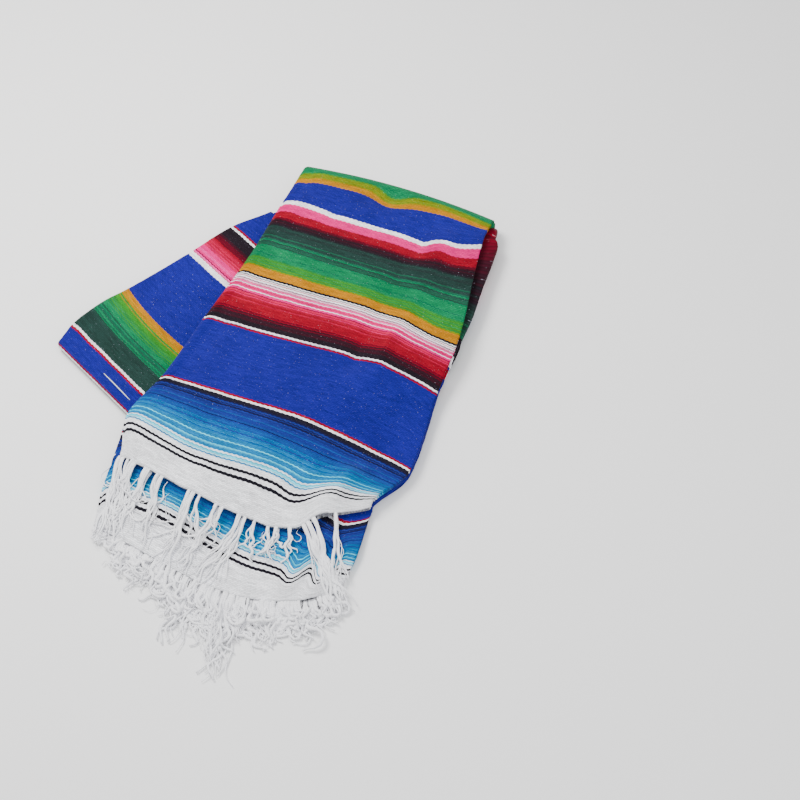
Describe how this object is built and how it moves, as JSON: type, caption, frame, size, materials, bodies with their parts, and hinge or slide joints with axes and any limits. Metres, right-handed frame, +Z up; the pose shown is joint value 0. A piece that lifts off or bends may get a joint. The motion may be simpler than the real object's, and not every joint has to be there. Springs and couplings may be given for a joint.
{
  "type": "mexican serape",
  "caption": "Folded woven wool blanket with crosswise stripes, blue bands, colour gradients and white knotted end fringe, lying flat.",
  "frame": {"origin": "middle of the outline, on the flat underside", "axes": "+Y from the fringed ends to the outer fold, +Z up, away from the surface it lies on"},
  "size_m": [0.5656, 0.7175, 0.0389],
  "materials": {
    "striped_cloth": "matte woven wool",
    "fringe_yarn": "matte twisted yarn"
  },
  "bodies": {
    "root": {"top_stretch": "striped_cloth", "left_stretch": "striped_cloth", "lower_stretch": "striped_cloth", "hidden_layers": "striped_cloth", "fringe_top": "fringe_yarn", "fringe_lower": "fringe_yarn"}
  },
  "joints": []
}
